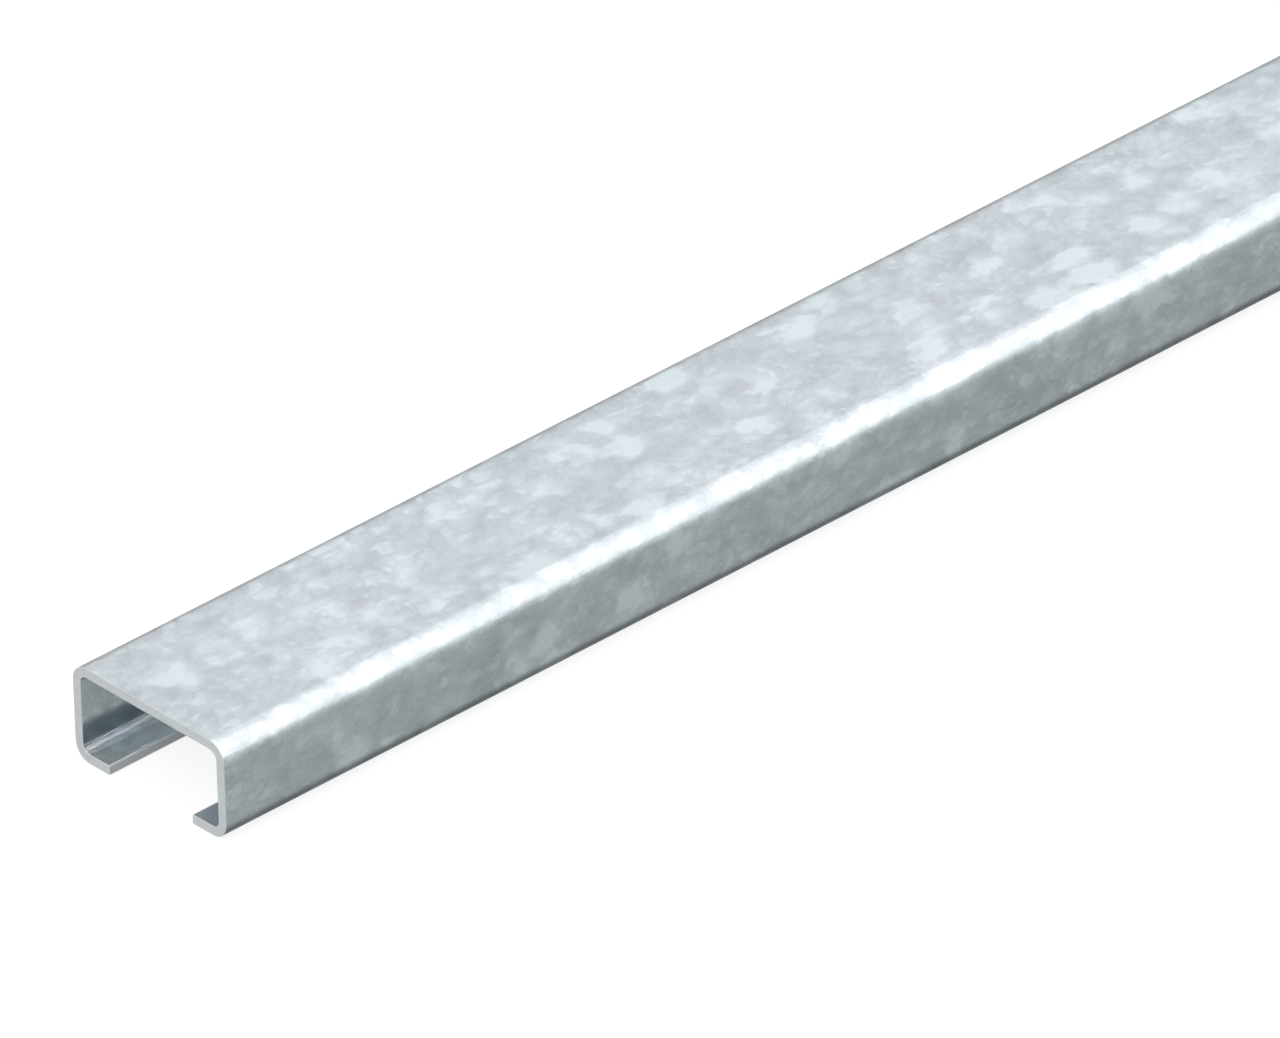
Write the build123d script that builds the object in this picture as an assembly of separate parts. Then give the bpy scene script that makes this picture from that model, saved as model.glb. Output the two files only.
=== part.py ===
"""Lipped C-section strut channel, 30 x 15 x 1.5 mm, cold-rolled from one galvanised steel strip.

The channel lies along X with its back up and its slot down, resting on the faces of its two lips.
The origin is at mid-length and mid-width, in the plane that the lips rest on.
"""

from build123d import *
import os

# Section, in mm
width = 30.0                # over the outsides of the two side walls
height = 15.0               # from the faces of the lips to the back
thickness = 1.5             # of the strip, the same in every wall and round every bend
slot_width = 16.5           # clear gap between the edges of the two lips
inner_bend_radius = 1.2     # of all four cold bends, on their inner side
strip_edge_radius = 0.25    # rounding that slitting and rolling leave on the strip's two edges

# Stock length, in mm, sawn square at both ends
length = 1000.0


def strip_middle_line():
    """Path of the middle of the strip's thickness, from one lip's edge round to the other's.

    Four straight-sided bends join five flats: lip, side wall, back, side wall, lip.
    """
    lip_edge = slot_width / 2
    wall = (width - thickness) / 2
    lip_level = thickness / 2
    back_level = height - thickness / 2
    corners = [
        (lip_edge, lip_level),
        (wall, lip_level),
        (wall, back_level),
        (-wall, back_level),
        (-wall, lip_level),
        (-lip_edge, lip_level),
    ]
    return FilletPolyline(*corners, radius=inner_bend_radius + thickness / 2)


def channel_section():
    """Closed outline of the folded strip, with its slit edges rounded."""
    section = trace(strip_middle_line(), line_width=thickness)
    edge_corners = [
        corner
        for corner in section.vertices()
        if abs(abs(corner.X) - slot_width / 2) < strip_edge_radius / 2
    ]
    rounding = min(strip_edge_radius, 0.45 * thickness)
    return fillet(edge_corners, radius=rounding)


def strut_channel():
    """The section carried along the whole stock length, centred on the origin."""
    across = Plane.YZ.offset(-length / 2)
    return extrude(across * channel_section(), amount=length)


channel = strut_channel()
channel.label = "strut_channel"

os.makedirs("parts", exist_ok=True)
export_step(channel, "parts/strut_channel.step")
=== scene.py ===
"""Light strut channel in spangled galvanised steel, on a pale studio floor.

The channel is one roll-formed C section, made here as one closed surface: the strip's middle line,
given its thickness and carried along the stock length.
"""

import math

import bpy
import numpy as np
from bpy.props import FloatProperty, FloatVectorProperty, PointerProperty
from bpy.types import Operator, Panel, PropertyGroup
from mathutils import Matrix, Vector


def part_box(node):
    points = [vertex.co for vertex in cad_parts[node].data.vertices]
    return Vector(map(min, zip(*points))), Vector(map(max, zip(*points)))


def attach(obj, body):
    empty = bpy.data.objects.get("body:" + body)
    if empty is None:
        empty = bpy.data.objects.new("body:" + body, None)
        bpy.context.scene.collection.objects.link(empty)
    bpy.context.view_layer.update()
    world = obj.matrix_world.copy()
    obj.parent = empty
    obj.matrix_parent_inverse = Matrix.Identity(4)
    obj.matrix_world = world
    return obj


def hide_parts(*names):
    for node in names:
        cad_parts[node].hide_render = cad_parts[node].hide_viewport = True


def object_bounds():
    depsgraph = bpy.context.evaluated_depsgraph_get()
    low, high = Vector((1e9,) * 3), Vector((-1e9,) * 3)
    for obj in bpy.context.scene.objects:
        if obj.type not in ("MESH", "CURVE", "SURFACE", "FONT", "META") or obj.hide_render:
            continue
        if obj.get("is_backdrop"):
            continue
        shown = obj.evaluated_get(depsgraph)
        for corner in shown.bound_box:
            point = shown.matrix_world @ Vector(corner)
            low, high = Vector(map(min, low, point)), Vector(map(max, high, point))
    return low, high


bl_info = {
    "name": "Strut channel",
    "version": (1, 0, 0),
    "blender": (4, 5, 0),
    "location": "3D View > Sidebar > Strut channel",
    "description": "Builds a galvanised strut channel round its CAD frame, with its studio",
    "category": "Object",
}

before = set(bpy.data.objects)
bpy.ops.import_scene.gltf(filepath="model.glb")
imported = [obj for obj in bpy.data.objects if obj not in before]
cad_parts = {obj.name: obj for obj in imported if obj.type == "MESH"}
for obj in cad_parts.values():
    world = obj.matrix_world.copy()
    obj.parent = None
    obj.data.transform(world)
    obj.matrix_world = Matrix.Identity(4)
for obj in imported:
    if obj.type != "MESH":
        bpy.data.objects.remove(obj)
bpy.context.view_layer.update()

NODE = "strut_channel"
MM = 0.001
QUARTER_TURN = math.pi / 2

# How finely the strip's middle line is summed, and how many points the surface has in each part.
LINE_SAMPLES = 24001
SETBACK_SAMPLES = 4001
SLIT_ROUNDING_POINTS = 6
BEND_POINTS = 27
FLAT_POINTS, BACK_POINTS = 8, 15
SAWN_ROUNDING_ROWS = 4
BODY_ROWS = 249


# ---------------------------------------------------------------- sizes and colours


class ChannelSizes(PropertyGroup):
    """Sizes of the strip and of its cold bends. The outside comes from the frame."""

    wall: FloatProperty(
        name="Wall",
        description="Thickness of the strip, the same in every wall",
        default=1.5 * MM,
        unit="LENGTH",
    )
    slot_width: FloatProperty(
        name="Slot width",
        description="Clear gap between the edges of the two lips",
        default=16.5 * MM,
        unit="LENGTH",
    )
    inner_bend: FloatProperty(
        name="Inner bend radius",
        description="Radius of the four cold bends on their inner side",
        default=1.2 * MM,
        unit="LENGTH",
    )
    bend_easing: FloatProperty(
        name="Bend easing",
        description="Length over which a flat passes into the full curve of its bend",
        default=0.8 * MM,
        unit="LENGTH",
    )
    slit_rounding: FloatProperty(
        name="Slit edge rounding",
        description="Rounding that slitting and rolling leave on the strip's two edges",
        default=0.25 * MM,
        unit="LENGTH",
    )
    sawn_rounding: FloatProperty(
        name="Sawn edge rounding",
        description="Deburred rounding at the two sawn ends",
        default=0.07 * MM,
        unit="LENGTH",
    )


class ZincFinish(PropertyGroup):
    """Colours and sizes of the spangled zinc and of the sawn steel."""

    light: FloatVectorProperty(
        name="Light crystals",
        description="Colour of the brightest zinc crystals",
        subtype="COLOR",
        size=3,
        default=(0.87, 0.945, 1.0),
    )
    pale_green: FloatVectorProperty(
        name="Greenish crystals",
        description="Colour of those bright crystals that lean to green",
        subtype="COLOR",
        size=3,
        default=(0.852, 0.964, 1.0),
    )
    dark: FloatVectorProperty(
        name="Dark crystals",
        description="Colour of the dullest zinc crystals",
        subtype="COLOR",
        size=3,
        default=(0.555, 0.605, 0.647),
    )
    sawn: FloatVectorProperty(
        name="Sawn steel",
        description="Colour of the bare steel at the sawn ends and along the slit edges",
        subtype="COLOR",
        size=3,
        default=(0.66, 0.70, 0.72),
    )
    crystal: FloatProperty(
        name="Crystal size",
        description="Width of a common spangle crystal",
        default=3.5 * MM,
        unit="LENGTH",
    )
    crystal_lean: FloatProperty(
        name="Crystal lean",
        description="How far a crystal's surface leans from the sheet's",
        default=0.004,
        min=0.0,
        max=1.0,
    )
    roughness: FloatProperty(
        name="Roughness",
        description="Mean roughness of the zinc",
        default=0.17,
        min=0.0,
        max=1.0,
        subtype="FACTOR",
    )
    metallic: FloatProperty(
        name="Metallic",
        description="How far the zinc answers light as bare metal",
        default=0.93,
        min=0.0,
        max=1.0,
        subtype="FACTOR",
    )


class Studio(PropertyGroup):
    """Light levels, at which a colour renders about as it is written."""

    sky: FloatProperty(
        name="Sky",
        description="Soft light from all round",
        default=0.5,
        min=0.0,
    )
    key: FloatProperty(
        name="Key",
        description="Broad soft light from the upper left",
        default=1.8,
        min=0.0,
    )
    fill: FloatProperty(
        name="Fill",
        description="Low soft light that looks into the near end",
        default=0.7,
        min=0.0,
    )
    strip: FloatProperty(
        name="Side light",
        description="Soft light from the far right, that draws the highlight on the near bend",
        default=0.82,
        min=0.0,
    )
    glint: FloatProperty(
        name="Glint",
        description="Shadowless twin of the side light, that shows only as a glint in the bends",
        default=0.62,
        min=0.0,
    )
    open: FloatProperty(
        name="Open side",
        description="Shadowless light from beyond the far wall, that shows only in faces turned up",
        default=0.065,
        min=0.0,
    )


# ---------------------------------------------------------------- shape of the channel


def eased_turn(along, start, run, easing):
    """Share of a bend done at each place: a straight ramp over its run, with both ends eased.

    The ramp is averaged over a window as long as the easing, so the curvature rises from nothing to
    its full value and falls back, and the bend starts half an easing before the ramp.
    """
    def ramp_area(place):
        inside = np.clip(place, 0.0, run)
        return inside**2 / (2 * run) + np.maximum(place - run, 0.0)

    middle = along - start
    return (ramp_area(middle + easing / 2) - ramp_area(middle - easing / 2)) / easing


class StripPath:
    """Middle line of the folded strip, in the YZ plane, from the +Y lip's edge to the -Y lip's.

    The heading turns by a quarter at each of four eased bends, and the line is the running sum of
    its heading. Flats are as long as the outside sizes leave between the bends' own setbacks.
    """

    def __init__(self, width, height, sizes):
        wall, easing = sizes.wall, sizes.bend_easing
        middle_radius = sizes.inner_bend + wall / 2
        run = middle_radius * QUARTER_TURN
        setback = self.bend_setback(run, easing)
        lip = (width - sizes.slot_width) / 2 - wall / 2 - setback
        side = height - wall - 2 * setback
        back = width - wall - 2 * setback
        flats = [lip, side, back, side, lip]
        self.bend = run + easing
        starts = [sum(flats[: i + 1]) + i * self.bend for i in range(4)]
        self.starts = np.array(starts)
        self.length = sum(flats) + 4 * self.bend
        self.along = np.linspace(0.0, self.length, LINE_SAMPLES)
        turned = sum(eased_turn(self.along, start + easing / 2, run, easing) for start in starts)
        heading = turned * QUARTER_TURN
        self.heading = heading
        step = self.along[1]
        self.y = sizes.slot_width / 2 + self.running_sum(np.cos(heading)) * step
        self.z = wall / 2 + self.running_sum(np.sin(heading)) * step
        middle = np.interp(self.length / 2, self.along, self.y)
        self.y -= middle

    @staticmethod
    def running_sum(values):
        """Trapezoid sum of the values up to each sample."""
        return np.concatenate([[0.0], np.cumsum((values[1:] + values[:-1]) / 2)])

    @staticmethod
    def bend_setback(run, easing):
        """How far a quarter bend's start lies from the corner of its two flats."""
        along = np.linspace(0.0, run + easing, SETBACK_SAMPLES)
        heading = eased_turn(along, easing / 2, run, easing) * QUARTER_TURN
        return float(StripPath.running_sum(np.sin(heading))[-1] * along[1])

    def at(self, along):
        """Middle points and outward normals at places along the line."""
        y = np.interp(along, self.along, self.y)
        z = np.interp(along, self.along, self.z)
        heading = np.interp(along, self.along, self.heading)
        return y, z, np.sin(heading), -np.cos(heading)

    def stations(self, rounding):
        """Places for the outline's points: close in the bends and slit edges, wide on the flats."""
        quarter = np.linspace(0.0, QUARTER_TURN, SLIT_ROUNDING_POINTS)
        edge = rounding * (1 - np.cos(quarter))
        bend_steps = np.linspace(0.0, self.bend, BEND_POINTS)[1:-1]
        flat_starts = [rounding, *(self.starts + self.bend)]
        flat_ends = [*self.starts, self.length - rounding]
        counts = [FLAT_POINTS, FLAT_POINTS, BACK_POINTS, FLAT_POINTS, FLAT_POINTS]
        places = [edge, *(start + bend_steps for start in self.starts)]
        for low, high, count in zip(flat_starts, flat_ends, counts):
            share = (1 - np.cos(np.linspace(0.0, math.pi, count))) / 2
            places.append(low + share * (high - low))
        places.append(self.length - edge)
        return np.unique(np.round(np.concatenate(places), 9))


def rows_along(length, rounding):
    """Places of the rows from end to end, and how far the sawn rounding draws each row in.

    The rounding is a quarter circle: a row at angle a from the end face stands r(1 - cos a) along
    and is drawn in by r(1 - sin a).
    """
    quarter = np.linspace(0.0, QUARTER_TURN, SAWN_ROUNDING_ROWS)
    along = rounding * (1 - np.cos(quarter))
    drawn_in = rounding * (1 - np.sin(quarter))
    near = np.array([2.5, 6.0, 14.0]) * rounding
    body_start = 4 * MM
    body = np.linspace(body_start, length - body_start, BODY_ROWS)
    x = np.concatenate([along, near, body, length - near[::-1], length - along[::-1]])
    inset = np.concatenate([drawn_in, np.zeros(2 * len(near) + len(body)), drawn_in[::-1]])
    return x - length / 2, inset


def channel_surface(path, sizes, length):
    """Rows of points round the folded strip, as an array of rows by points by 3.

    Each point is the middle line's, moved along its normal by half the wall, less the rounding of
    the slit edge and of the sawn end. One side's points run out and the other's run back.
    """
    station = path.stations(sizes.slit_rounding)
    x, inset = rows_along(length, sizes.sawn_rounding)
    inset = inset[:, None]
    squeeze = (path.length - 2 * inset) / path.length
    along = inset + station[None, :] * squeeze
    y, z, out_y, out_z = path.at(along)
    from_edge = np.minimum(station, path.length - station)
    short = np.clip(sizes.slit_rounding - from_edge, 0.0, sizes.slit_rounding)
    drop = sizes.slit_rounding - np.sqrt(sizes.slit_rounding**2 - short**2)
    half = sizes.wall / 2 - drop[None, :] - inset
    outer = np.stack([y + out_y * half, z + out_z * half], axis=-1)
    inner = np.stack([y - out_y * half, z - out_z * half], axis=-1)
    ring = np.concatenate([outer, inner[:, ::-1]], axis=1)
    xs = np.broadcast_to(x[:, None, None], (*ring.shape[:2], 1))
    return np.concatenate([xs, ring], axis=-1), len(station)


def wall_faces(rows, around):
    """Quads between neighbouring rows, all the way round."""
    row, point = np.meshgrid(np.arange(rows - 1), np.arange(around), indexing="ij")
    after = (point + 1) % around
    quads = np.stack(
        [row * around + point, (row + 1) * around + point, (row + 1) * around + after,
         row * around + after],
        axis=-1,
    )
    return quads.reshape(-1, 4)


def bare_walls(path, sizes, rows):
    """Which wall quads are bare steel: those of the slit edges and of the sawn ends' roundings."""
    station = path.stations(sizes.slit_rounding)
    just_past_rounding = sizes.slit_rounding * 1.001
    near_edge = np.minimum(station, path.length - station) <= just_past_rounding
    ring = np.concatenate([near_edge, near_edge[::-1]])
    slit = ring & np.roll(ring, -1)
    row = np.arange(rows - 1)
    rounded = np.minimum(row, rows - 2 - row) < SAWN_ROUNDING_ROWS - 1
    return (slit[None, :] | rounded[:, None]).ravel()


def end_faces(pairs, around, first, flip):
    """Quads across the wall at one end: each joins two pairs of outer and inner points."""
    i = np.arange(pairs - 1)
    quads = np.stack([i, i + 1, around - 2 - i, around - 1 - i], axis=-1) + first
    return quads[:, ::-1] if flip else quads


def bake_map(points, rows, around, wall_quads, end_quads, length):
    """Corner places of a map that holds the whole skin at one scale.

    The strip's skin is 1 m long and about 130 mm round, so it is cut across into three bands, laid
    one above the other. The two end faces stand beside them, enlarged.
    """
    bands, gutter = 3, 2.5 * MM
    end_scale, end_pitch = 1.6, 60 * MM
    ring = points[rows // 2, :, 1:]
    steps = np.linalg.norm(np.roll(ring, -1, axis=0) - ring, axis=1)
    girth = np.concatenate([[0.0], np.cumsum(steps)])
    row, point = np.divmod(np.arange(len(wall_quads)), around)
    x = points[:, 0, 0] + length / 2
    band_length = length / bands
    middle = (x[row] + x[row + 1]) / 2
    band = np.minimum((middle / band_length).astype(int), bands - 1)
    u0, u1 = x[row] - band * band_length, x[row + 1] - band * band_length
    v0, v1 = girth[point], girth[point + 1]
    lift = band * (girth[-1] + gutter)
    wall_uv = np.stack(
        [np.stack([u0, v0 + lift], -1), np.stack([u1, v0 + lift], -1),
         np.stack([u1, v1 + lift], -1), np.stack([u0, v1 + lift], -1)],
        axis=1,
    )
    flat = points.reshape(-1, 3)
    ends = []
    for i, quads in enumerate(end_quads):
        yz = flat[quads][..., 1:] * end_scale
        side = 1 if i else -1
        place = np.stack([yz[..., 1] * side, yz[..., 0]], axis=-1)
        place -= place.reshape(-1, 2).min(0)
        place += np.array([band_length + 2 * gutter, i * end_pitch])
        ends.append(place)
    uv = np.concatenate([wall_uv.reshape(-1, 2), *(e.reshape(-1, 2) for e in ends)])
    uv -= uv.min(0)
    margin = 0.004
    return uv / np.ptp(uv, axis=0).max() * (1 - 2 * margin) + margin


def make_piece(name, vertices, quads, uv, material_of_face, materials):
    """A smooth-shaded mesh object at the origin, with its place in its mesh."""
    if not np.isfinite(vertices).all():
        raise RuntimeError(f"{name}: the sizes leave no room for the bends")
    mesh = bpy.data.meshes.new(name)
    mesh.vertices.add(len(vertices))
    mesh.vertices.foreach_set("co", vertices.astype(np.float32).ravel())
    mesh.loops.add(quads.size)
    mesh.loops.foreach_set("vertex_index", quads.astype(np.int32).ravel())
    mesh.polygons.add(len(quads))
    mesh.polygons.foreach_set("loop_start", np.arange(0, quads.size, 4, dtype=np.int32))
    mesh.polygons.foreach_set("use_smooth", np.ones(len(quads), bool))
    for material in materials:
        mesh.materials.append(material)
    mesh.polygons.foreach_set("material_index", material_of_face.astype(np.int32))
    mesh.update(calc_edges=True)
    if mesh.validate():
        raise RuntimeError(f"{name}: the mesh had faults")
    layer = mesh.uv_layers.new(name="OFBake")
    layer.data.foreach_set("uv", uv.astype(np.float32).ravel())
    piece = bpy.data.objects.new(name, mesh)
    bpy.context.scene.collection.objects.link(piece)
    return piece


def sharpen_between(mesh, faces_apart):
    """Marks as sharp each edge between a face in the mask and one outside it."""
    edge_of_corner = np.empty(len(mesh.loops), np.int32)
    mesh.loops.foreach_get("edge_index", edge_of_corner)
    inside = np.repeat(faces_apart, 4)
    touches_in = np.zeros(len(mesh.edges), bool)
    touches_out = np.zeros(len(mesh.edges), bool)
    touches_in[edge_of_corner[inside]] = True
    touches_out[edge_of_corner[~inside]] = True
    mesh.edges.foreach_set("use_edge_sharp", touches_in & touches_out)


# ---------------------------------------------------------------- node helpers


def add_node(tree, kind, inputs=None, **settings):
    """A node with its settings made and its inputs set or linked."""
    node = tree.nodes.new(kind)
    for name, value in settings.items():
        setattr(node, name, value)
    for name, value in (inputs or {}).items():
        if isinstance(value, bpy.types.NodeSocket):
            tree.links.new(value, node.inputs[name])
        else:
            node.inputs[name].default_value = value
    return node


def maths(tree, operation, a, b=0.0):
    """Result of one Math node."""
    return add_node(tree, "ShaderNodeMath", {0: a, 1: b}, operation=operation).outputs[0]


def vector_maths(tree, operation, a, b=(0.0, 0.0, 0.0)):
    """Vector result of one Vector Math node."""
    node = add_node(tree, "ShaderNodeVectorMath", {0: a, 1: b}, operation=operation)
    return node.outputs["Vector"]


def scaled(tree, vector, factor):
    """A vector times a number."""
    node = add_node(tree, "ShaderNodeVectorMath", {0: vector, "Scale": factor}, operation="SCALE")
    return node.outputs["Vector"]


def noise_value(tree, place, scale, detail, roughness):
    """Grey value of a noise, about one half."""
    node = add_node(
        tree,
        "ShaderNodeTexNoise",
        {"Vector": place, "Scale": scale, "Detail": detail, "Roughness": roughness},
    )
    return node.outputs["Fac"]


def centred_noise(tree, place, scale, detail, roughness):
    """Noise vector about zero, each way up to about two."""
    node = add_node(
        tree,
        "ShaderNodeTexNoise",
        {"Vector": place, "Scale": scale, "Detail": detail, "Roughness": roughness},
    )
    centred = vector_maths(tree, "SUBTRACT", node.outputs["Color"], (0.5, 0.5, 0.5))
    return scaled(tree, centred, 4.0)


def opaque(colour):
    """A colour of three parts with full alpha."""
    return (*colour, 1.0)


def grey(level):
    """A neutral colour of the given level."""
    return opaque((level, level, level))


def mix_colour(tree, share, a, b):
    """Colour between two colours."""
    node = tree.nodes.new("ShaderNodeMix")
    node.data_type = "RGBA"
    for name, value in (("Factor_Float", share), ("A_Color", a), ("B_Color", b)):
        socket = next(s for s in node.inputs if s.identifier == name)
        if isinstance(value, bpy.types.NodeSocket):
            tree.links.new(value, socket)
        else:
            socket.default_value = value
    return next(s for s in node.outputs if s.identifier == "Result_Color")


def new_group(name, inputs, outputs):
    """An empty shader node group with named sockets, and its two end nodes."""
    group = bpy.data.node_groups.new(name, "ShaderNodeTree")
    for socket, (kind, default) in inputs.items():
        made = group.interface.new_socket(socket, in_out="INPUT", socket_type=kind)
        if default is not None:
            made.default_value = default
    for socket, kind in outputs.items():
        group.interface.new_socket(socket, in_out="OUTPUT", socket_type=kind)
    start = group.nodes.new("NodeGroupInput")
    end = group.nodes.new("NodeGroupOutput")
    return group, start, end


def new_material(name):
    """A material with an empty tree, its Principled shader and its output."""
    material = bpy.data.materials.new(name)
    material.use_nodes = True
    tree = material.node_tree
    tree.nodes.clear()
    shader = tree.nodes.new("ShaderNodeBsdfPrincipled")
    output = tree.nodes.new("ShaderNodeOutputMaterial")
    tree.links.new(shader.outputs["BSDF"], output.inputs["Surface"])
    return material, tree, shader


# ---------------------------------------------------------------- finishes


def spangle_group():
    """Zinc crystals: patches that each answer light in their own tone, tint and tilt.

    The place is first stretched a little, so crystals are longer along the strip, and then pushed
    about by a slow and a quick noise, which gives them lobed and feathered edges. Crystals of three
    sizes are Voronoi cells, each narrowed to a rounded disc about its centre. How bright one is
    comes from its own random number raised to a power, so few stand out from a duller ground. The
    smallest come in drifts, where a slow noise is high, and there the large ones are fainter. A
    cloudy noise gives the ground and shades the large crystals.
    """
    group, start, end = new_group(
        "Zinc spangle",
        {
            "Vector": ("NodeSocketVector", None),
            "Crystal": ("NodeSocketFloat", 3 * MM),
            "Feather": ("NodeSocketFloat", 0.2),
            "Rarity": ("NodeSocketFloat", 3.0),
        },
        {
            "Bloom": "NodeSocketFloat",
            "Cloud": "NodeSocketFloat",
            "Tint": "NodeSocketFloat",
            "Tilt": "NodeSocketVector",
        },
    )
    longer_along_strip = (0.86, 1.08, 1.18)
    place = vector_maths(group, "MULTIPLY", start.outputs["Vector"], longer_along_strip)
    crystal, rarity = start.outputs["Crystal"], start.outputs["Rarity"]
    density = maths(group, "DIVIDE", 1.0, crystal)
    slow = centred_noise(group, place, maths(group, "MULTIPLY", density, 0.8), 2.0, 0.5)
    quick = centred_noise(group, place, maths(group, "MULTIPLY", density, 2.4), 3.0, 0.6)
    slow_reach = maths(group, "MULTIPLY", crystal, 0.36)
    quick_reach = maths(group, "MULTIPLY", crystal, start.outputs["Feather"])
    pushed = vector_maths(group, "ADD", place, scaled(group, slow, slow_reach))
    pushed = vector_maths(group, "ADD", pushed, scaled(group, quick, quick_reach))

    cells, discs = [], []
    sizes = (
        # share of the crystal's width, smoothness, and the disc's rim and core in cell widths
        (1.80, 0.22, 0.68, 0.22),
        (0.75, 0.26, 0.62, 0.30),
        (0.36, 0.30, 0.60, 0.34),
    )
    for size_share, smoothness, rim, core in sizes:
        scale = maths(group, "DIVIDE", density, size_share)
        cell = add_node(
            group,
            "ShaderNodeTexVoronoi",
            {"Vector": pushed, "Scale": scale, "Smoothness": smoothness},
            feature="SMOOTH_F1",
        )
        cells.append(cell.outputs["Color"])
        rounded = add_node(
            group,
            "ShaderNodeMapRange",
            {"Value": cell.outputs["Distance"], "From Min": rim, "From Max": core},
            interpolation_type="SMOOTHSTEP",
        )
        discs.append(rounded.outputs["Result"])
    parts = [add_node(group, "ShaderNodeSeparateColor", {"Color": cell}) for cell in cells]
    crests = [maths(group, "POWER", part.outputs["Red"], rarity) for part in parts]
    large, middle, small = (
        maths(group, "MULTIPLY", crest, disc) for crest, disc in zip(crests, discs)
    )
    cloud = noise_value(group, place, maths(group, "MULTIPLY", density, 0.8), 6.0, 0.62)
    drift = noise_value(group, place, maths(group, "MULTIPLY", density, 0.28), 1.0, 0.5)
    drift = add_node(
        group, "ShaderNodeMapRange", {"Value": drift, "From Min": 0.40, "From Max": 0.62}
    ).outputs["Result"]
    shaded = maths(group, "SUBTRACT", maths(group, "MULTIPLY", cloud, 4.2), 0.55)
    clear = maths(group, "SUBTRACT", 1.45, maths(group, "MULTIPLY", drift, 0.8))
    bloom = maths(group, "MULTIPLY", maths(group, "MULTIPLY", large, shaded), clear)
    bloom = maths(group, "ADD", bloom, maths(group, "MULTIPLY", middle, 0.78))
    in_drifts = maths(group, "ADD", maths(group, "MULTIPLY", drift, 0.65), 0.1)
    bloom = maths(group, "ADD", bloom, maths(group, "MULTIPLY", small, in_drifts))
    leans = [vector_maths(group, "SUBTRACT", cell, (0.5, 0.5, 0.5)) for cell in cells]
    tilt = vector_maths(group, "ADD", leans[0], scaled(group, leans[1], 0.6))
    group.links.new(bloom, end.inputs["Bloom"])
    group.links.new(cloud, end.inputs["Cloud"])
    group.links.new(parts[0].outputs["Green"], end.inputs["Tint"])
    group.links.new(tilt, end.inputs["Tilt"])
    return group


def fine_grain_group():
    """Fine mottle that zinc and sawn steel share: quick noise in tone and in height."""
    group, start, end = new_group(
        "Fine grain",
        {
            "Vector": ("NodeSocketVector", None),
            "Grain": ("NodeSocketFloat", 0.4 * MM),
        },
        {"Tone": "NodeSocketFloat"},
    )
    density = maths(group, "DIVIDE", 1.0, start.outputs["Grain"])
    noise = add_node(
        group,
        "ShaderNodeTexNoise",
        {"Vector": start.outputs["Vector"], "Scale": density, "Detail": 3.0},
    )
    group.links.new(noise.outputs["Fac"], end.inputs["Tone"])
    return group


def group_node(tree, group, inputs):
    """The group placed in a tree with its inputs set."""
    node = tree.nodes.new("ShaderNodeGroup")
    node.node_tree = group
    for name, value in inputs.items():
        if isinstance(value, bpy.types.NodeSocket):
            tree.links.new(value, node.inputs[name])
        else:
            node.inputs[name].default_value = value
    return node


def spangled_zinc(finish, spangle, grain):
    """The galvanised skin: tone and sheen from its crystals, each leaning a little its own way."""
    material, tree, shader = new_material("spangled_zinc")
    place = tree.nodes.new("ShaderNodeTexCoord").outputs["Object"]
    crystals = group_node(
        tree, spangle, {"Vector": place, "Crystal": finish.crystal, "Feather": 0.08, "Rarity": 2.0}
    )
    mottle = group_node(tree, grain, {"Vector": place, "Grain": 0.5 * MM})
    bloom_share, cloud_share, mottle_share = 0.49, 1.25, 0.45
    dullest, brightest = 0.585, 1.485
    rough_swing, mottle_height = 0.03, 0.003 * MM
    tone = maths(tree, "MULTIPLY", crystals.outputs["Bloom"], bloom_share)
    for part, share in (
        (crystals.outputs["Cloud"], cloud_share),
        (mottle.outputs["Tone"], mottle_share),
    ):
        tone = maths(tree, "ADD", tone, maths(tree, "MULTIPLY", part, share))
    spread = add_node(
        tree,
        "ShaderNodeMapRange",
        {"Value": tone, "From Min": dullest, "From Max": brightest},
    ).outputs["Result"]
    bright = mix_colour(
        tree, crystals.outputs["Tint"], opaque(finish.light), opaque(finish.pale_green)
    )
    colour = mix_colour(tree, spread, opaque(finish.dark), bright)
    tree.links.new(colour, shader.inputs["Base Color"])
    rough = add_node(
        tree,
        "ShaderNodeMapRange",
        {
            "Value": spread,
            "To Min": finish.roughness + rough_swing,
            "To Max": finish.roughness - rough_swing,
        },
    ).outputs["Result"]
    tree.links.new(rough, shader.inputs["Roughness"])
    shader.inputs["Metallic"].default_value = finish.metallic
    facing = tree.nodes.new("ShaderNodeNewGeometry").outputs["Normal"]
    leaning = vector_maths(
        tree, "ADD", facing, scaled(tree, crystals.outputs["Tilt"], finish.crystal_lean)
    )
    leaning = vector_maths(tree, "NORMALIZE", leaning)
    relief = maths(tree, "MULTIPLY", mottle.outputs["Tone"], mottle_height)
    bump = add_node(
        tree,
        "ShaderNodeBump",
        {"Height": relief, "Distance": 1.0, "Strength": 1.0, "Normal": leaning},
    )
    tree.links.new(bump.outputs["Normal"], shader.inputs["Normal"])
    return material


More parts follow.
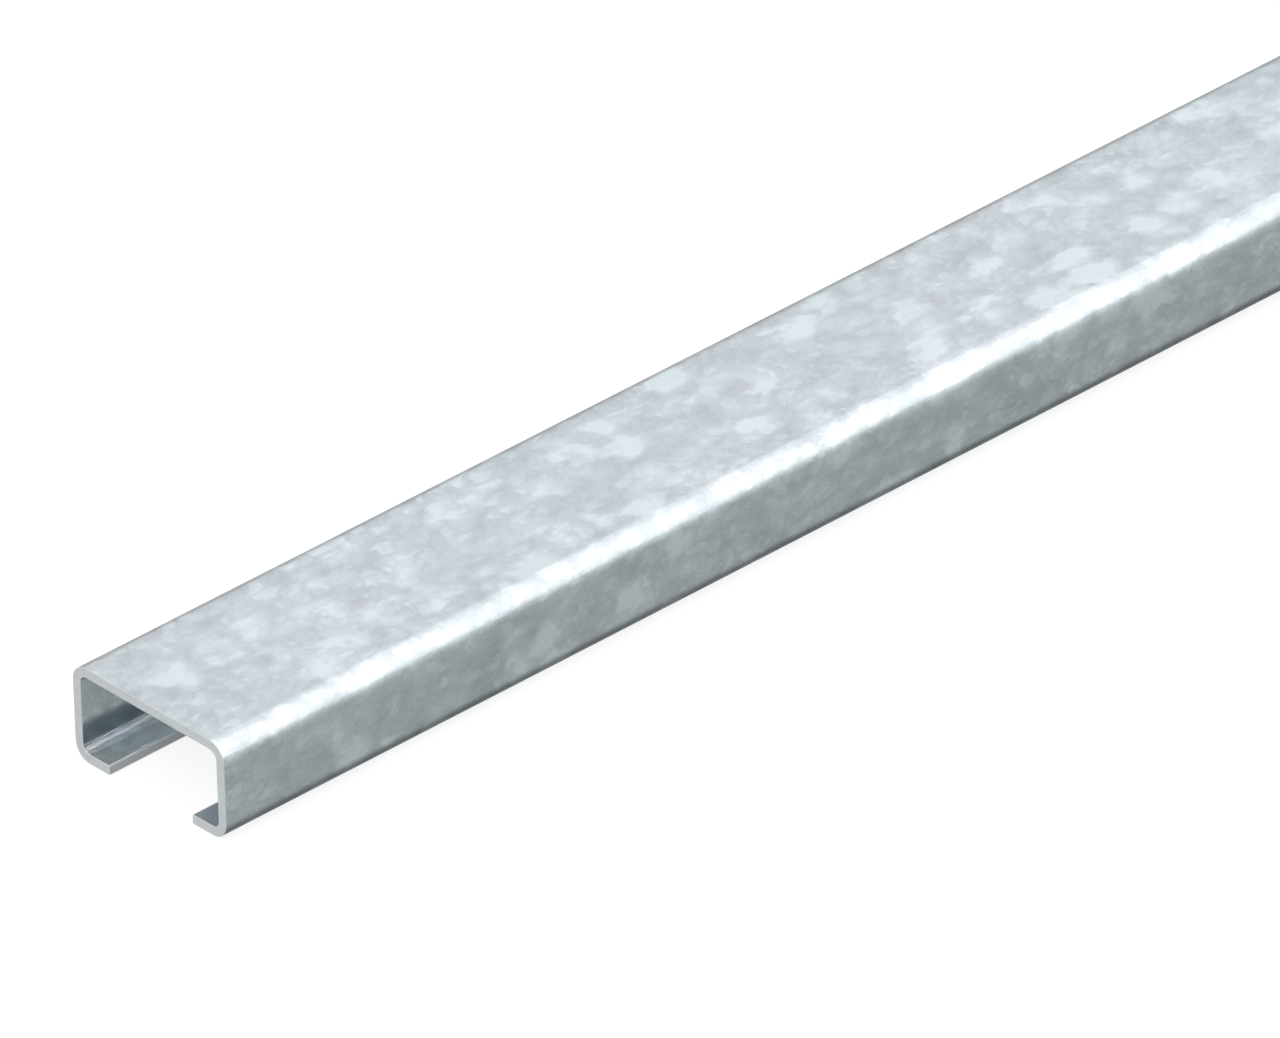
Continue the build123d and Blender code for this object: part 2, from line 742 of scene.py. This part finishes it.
def sawn_steel(finish, grain):
    """Bare steel of the sawn ends and slit edges: matt, with faint saw lines and a fine mottle."""
    material, tree, shader = new_material("sawn_steel")
    place = tree.nodes.new("ShaderNodeTexCoord").outputs["Object"]
    saw_slant, line_stretch = math.radians(24), 0.12
    stretched = add_node(
        tree,
        "ShaderNodeMapping",
        {
            "Vector": place,
            "Rotation": (saw_slant, 0.0, 0.0),
            "Scale": (1.0, line_stretch, 1.0),
        },
    ).outputs["Vector"]
    lines = group_node(tree, grain, {"Vector": stretched, "Grain": 0.16 * MM})
    mottle = group_node(tree, grain, {"Vector": place, "Grain": 0.6 * MM})
    tone = maths(tree, "MULTIPLY", lines.outputs["Tone"], 0.5)
    tone = maths(tree, "ADD", tone, maths(tree, "MULTIPLY", mottle.outputs["Tone"], 0.5))
    dull_level = 0.86
    bright, dull = opaque(finish.sawn), opaque(part * dull_level for part in finish.sawn)
    spread = add_node(
        tree,
        "ShaderNodeMapRange",
        {"Value": tone, "From Min": 0.30, "From Max": 0.62},
    ).outputs["Result"]
    tree.links.new(mix_colour(tree, spread, dull, bright), shader.inputs["Base Color"])
    rough = add_node(
        tree, "ShaderNodeMapRange", {"Value": tone, "To Min": 0.62, "To Max": 0.48}
    ).outputs["Result"]
    tree.links.new(rough, shader.inputs["Roughness"])
    shader.inputs["Metallic"].default_value = 0.3
    relief = maths(tree, "MULTIPLY", lines.outputs["Tone"], 0.02 * MM)
    bump = add_node(tree, "ShaderNodeBump", {"Height": relief, "Distance": 1.0, "Strength": 1.0})
    tree.links.new(bump.outputs["Normal"], shader.inputs["Normal"])
    return material


# ---------------------------------------------------------------- operators


class STRUT_OT_channel(Operator):
    """Makes the channel's surface from the strip's middle line, with its zinc and its sawn ends"""

    bl_idname = "strut.channel"
    bl_label = "Channel"

    def execute(self, context):
        sizes, finish = context.scene.strut_sizes, context.scene.strut_finish
        low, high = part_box(NODE)
        length, width, height = high - low
        path = StripPath(width, height, sizes)
        points, pairs = channel_surface(path, sizes, length)
        rows, around = points.shape[:2]
        walls = wall_faces(rows, around)
        ends = [
            end_faces(pairs, around, 0, False),
            end_faces(pairs, around, (rows - 1) * around, True),
        ]
        uv = bake_map(points, rows, around, walls, ends, length)
        quads = np.concatenate([walls, *ends])
        is_end = np.arange(len(quads)) >= len(walls)
        bare = is_end.copy()
        bare[: len(walls)] = bare_walls(path, sizes, rows)
        spangle, grain = spangle_group(), fine_grain_group()
        materials = [spangled_zinc(finish, spangle, grain), sawn_steel(finish, grain)]
        centre = np.array([(low.x + high.x) / 2, (low.y + high.y) / 2, low.z])
        piece = make_piece(
            "galvanised_channel", points.reshape(-1, 3) + centre, quads, uv, bare, materials
        )
        sharpen_between(piece.data, is_end)
        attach(piece, "root")
        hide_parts(NODE)
        return {"FINISHED"}


class STRUT_OT_stage(Operator):
    """Sets the pale floor, the soft studio light and the camera"""

    bl_idname = "strut.stage"
    bl_label = "Studio"

    def execute(self, context):
        studio = context.scene.strut_studio
        make_floor()
        make_sky(studio.sky)
        above, near_low = (-0.66, 0.06, 0.75), (-0.78, -0.46, 0.40)
        side, beyond = (0.56, -0.57, 0.55), (0.56, 0.63, 0.53)
        unmirrored(soft_sun("key_light", above, studio.key, 60))
        unmirrored(soft_sun("fill_light", near_low, studio.fill, 50))
        soft_sun("side_light", side, studio.strip, 142)
        as_glint(soft_sun("glint_light", side, studio.glint, 92))
        as_glint(soft_sun("open_light", beyond, studio.open, 40))
        make_camera(context.scene)
        context.scene.view_settings.view_transform = "Standard"
        return {"FINISHED"}


# ---------------------------------------------------------------- studio


def make_floor():
    """A wide pale floor. The camera sees it near white, with the object's shadow kept faint.

    The metal sees it greyer. There its glow holds painted shade, dark in the creases where the
    channel rests, and painted light, which grows brighter out on the side of the side light, as in
    a tent that is open there.
    """
    low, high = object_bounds()
    half = 20.0
    # How the metal sees the floor: painted shade in the creases where the channel rests, and
    # painted light out on the open side
    painted_shade_width, painted_shade_level, flat_level = 3 * MM, 0.09, 0.36
    open_start, open_end, painted_light_level = 13.5 * MM, 96 * MM, 0.44
    seen_level, mirrored_tint = 0.84, opaque((0.965, 1.0, 0.978))
    mesh = bpy.data.meshes.new("floor")
    corners = [(-half, -half, 0.0), (half, -half, 0.0), (half, half, 0.0), (-half, half, 0.0)]
    mesh.from_pydata(corners, [], [(0, 1, 2, 3)])
    floor = bpy.data.objects.new("floor", mesh)
    bpy.context.scene.collection.objects.link(floor)
    material = bpy.data.materials.new("pale_floor")
    material.use_nodes = True
    tree = material.node_tree
    tree.nodes.clear()
    path = tree.nodes.new("ShaderNodeLightPath").outputs
    seen = path["Is Camera Ray"]
    mirrored = maths(tree, "MAXIMUM", path["Is Glossy Ray"], path["Is Transmission Ray"])
    place = tree.nodes.new("ShaderNodeTexCoord").outputs["Object"]
    across = add_node(tree, "ShaderNodeSeparateXYZ", {0: place}).outputs["Y"]
    # Painted shade: where the channel rests on the floor, the glow that the metal mirrors falls
    # dark
    from_crease = maths(
        tree, "ABSOLUTE", maths(tree, "SUBTRACT", maths(tree, "ABSOLUTE", across), high.y)
    )
    glow_with_painted_crease_shade = add_node(
        tree,
        "ShaderNodeMapRange",
        {
            "Value": from_crease,
            "From Max": painted_shade_width,
            "To Min": painted_shade_level,
            "To Max": flat_level,
        },
    ).outputs["Result"]
    # Painted light: the glow that the metal mirrors grows brighter out from the near wall, on the
    # side of the side light
    painted_open_side_light = add_node(
        tree,
        "ShaderNodeMapRange",
        {"Value": across, "From Min": low.y - open_start, "From Max": low.y - open_end},
    ).outputs["Result"]
    painted_open_side_light = maths(tree, "MULTIPLY", maths(tree, "POWER", painted_open_side_light, 0.5), painted_light_level)
    paint = mix_colour(tree, mirrored, grey(0.4), grey(0.06))
    paint = mix_colour(tree, seen, paint, grey(0.20))
    glow = maths(tree, "MULTIPLY", maths(tree, "ADD", glow_with_painted_crease_shade, painted_open_side_light), mirrored)
    glow = maths(tree, "ADD", glow, maths(tree, "MULTIPLY", seen, seen_level))
    matt = add_node(tree, "ShaderNodeBsdfDiffuse", {"Color": paint})
    tint = mix_colour(tree, seen, mirrored_tint, grey(1.0))
    light = add_node(tree, "ShaderNodeEmission", {"Color": tint, "Strength": glow})
    both = add_node(tree, "ShaderNodeAddShader", {0: matt.outputs[0], 1: light.outputs[0]})
    clear = tree.nodes.new("ShaderNodeBsdfTransparent")
    behind = tree.nodes.new("ShaderNodeNewGeometry").outputs["Backfacing"]
    top = add_node(
        tree, "ShaderNodeMixShader", {0: behind, 1: both.outputs[0], 2: clear.outputs[0]}
    )
    output = tree.nodes.new("ShaderNodeOutputMaterial")
    tree.links.new(top.outputs[0], output.inputs["Surface"])
    mesh.materials.append(material)
    floor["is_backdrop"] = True


def make_sky(strength):
    """White all round for the camera, and a soft fill of the given strength for matt faces.

    Reflections see it white above and greyer at the horizon, and greyer beyond the far wall than on
    the near side.
    """
    horizon_height, white_height, horizon_level = 0.08, 0.44, 0.64
    near_reach, far_reach, near_level, far_level = -0.2, 0.56, 1.17, 0.85
    world = bpy.data.worlds.new("studio")
    bpy.context.scene.world = world
    world.use_nodes = True
    tree = world.node_tree
    tree.nodes.clear()
    path = tree.nodes.new("ShaderNodeLightPath").outputs
    mirrored = maths(tree, "MAXIMUM", path["Is Glossy Ray"], path["Is Transmission Ray"])
    towards = tree.nodes.new("ShaderNodeTexCoord").outputs["Generated"]
    towards = add_node(tree, "ShaderNodeSeparateXYZ", {0: towards}).outputs
    mirror_level = add_node(
        tree,
        "ShaderNodeMapRange",
        {
            "Value": towards["Z"],
            "From Min": horizon_height,
            "From Max": white_height,
            "To Min": horizon_level,
        },
    ).outputs["Result"]
    far_side = add_node(
        tree,
        "ShaderNodeMapRange",
        {
            "Value": towards["Y"],
            "From Min": near_reach,
            "From Max": far_reach,
            "To Min": near_level,
            "To Max": far_level,
        },
        interpolation_type="SMOOTHSTEP",
    ).outputs["Result"]
    mirror_level = maths(tree, "MULTIPLY", mirror_level, far_side)
    level = maths(tree, "MULTIPLY", mirrored, maths(tree, "SUBTRACT", mirror_level, strength))
    level = maths(tree, "ADD", level, strength)
    lift = maths(tree, "MULTIPLY", path["Is Camera Ray"], 1.0 - strength)
    level = maths(tree, "ADD", level, lift)
    background = add_node(tree, "ShaderNodeBackground", {"Strength": level})
    output = tree.nodes.new("ShaderNodeOutputWorld")
    tree.links.new(background.outputs[0], output.inputs["Surface"])


def soft_sun(name, towards, strength, spread):
    """A distant soft light from the given direction, so all of the length is lit alike.

    The spread is the whole angle, in degrees, that the light fills in the sky.
    """
    lamp = bpy.data.lights.new(name, "SUN")
    lamp.energy = strength
    lamp.angle = math.radians(spread)
    holder = bpy.data.objects.new(name, lamp)
    bpy.context.scene.collection.objects.link(holder)
    holder.rotation_mode = "QUATERNION"
    holder.rotation_quaternion = Vector(towards).to_track_quat("Z", "Y")
    return holder


def unmirrored(holder):
    """Keeps a sun out of the gloss, so a face that mirrors it to the eye isn't burnt out."""
    holder.visible_glossy = False


def as_glint(holder):
    """Lets a sun through all walls, but only into the gloss that is seen at first hand."""
    holder.visible_diffuse = False
    lamp = holder.data
    lamp.use_shadow = False
    lamp.cycles.use_multiple_importance_sampling = False
    lamp.use_nodes = True
    tree = lamp.node_tree
    depth = tree.nodes.new("ShaderNodeLightPath").outputs["Ray Depth"]
    first = maths(tree, "LESS_THAN", depth, 1.5)
    tree.links.new(first, tree.nodes["Emission"].inputs["Strength"])


def make_camera(scene):
    """A long lens that looks down on the near end from the right, with the back uppermost."""
    low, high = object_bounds()
    near_end = Vector((low.x, (low.y + high.y) / 2, low.z))
    towards_eye = Vector((-0.56149, -0.63237, 0.53370)).normalized()
    distance, focal_length, sensor_width = 3.7675, 800.0, 36.0
    aim = near_end + Vector((0.0617, -0.0297, 0.0297))
    roll = math.radians(1.784)
    level = towards_eye.to_track_quat("Z", "Y").to_matrix()
    turn = Matrix.Rotation(-roll, 3, "Z")
    data = bpy.data.cameras.new("camera")
    data.lens, data.sensor_width = focal_length, sensor_width
    data.clip_start, data.clip_end = 0.1, 100.0
    data.dof.use_dof = False
    camera = bpy.data.objects.new("camera", data)
    scene.collection.objects.link(camera)
    eye = Matrix.Translation(aim + towards_eye * distance)
    camera.matrix_world = eye @ (level @ turn).to_4x4()
    scene.camera = camera


# ---------------------------------------------------------------- add-on


class STRUT_PT_panel(Panel):
    """Sizes, finish and light of the channel, with the buttons that build it"""

    bl_idname = "STRUT_PT_panel"
    bl_label = "Strut channel"
    bl_space_type = "VIEW_3D"
    bl_region_type = "UI"
    bl_category = "Strut channel"

    def draw(self, context):
        layout, scene = self.layout, context.scene
        for group, button in (
            (scene.strut_sizes, None),
            (scene.strut_finish, STRUT_OT_channel.bl_idname),
            (scene.strut_studio, STRUT_OT_stage.bl_idname),
        ):
            box = layout.box()
            for name in group.__annotations__:
                box.prop(group, name)
            if button:
                box.operator(button)


CLASSES = (
    ChannelSizes,
    ZincFinish,
    Studio,
    STRUT_OT_channel,
    STRUT_OT_stage,
    STRUT_PT_panel,
)


def register():
    for cls in CLASSES:
        bpy.utils.register_class(cls)
    bpy.types.Scene.strut_sizes = PointerProperty(type=ChannelSizes)
    bpy.types.Scene.strut_finish = PointerProperty(type=ZincFinish)
    bpy.types.Scene.strut_studio = PointerProperty(type=Studio)


def unregister():
    del bpy.types.Scene.strut_studio
    del bpy.types.Scene.strut_finish
    del bpy.types.Scene.strut_sizes
    for cls in reversed(CLASSES):
        bpy.utils.unregister_class(cls)


def main():
    register()
    bpy.ops.strut.channel()
    bpy.ops.strut.stage()


if __name__ == "__main__":
    main()
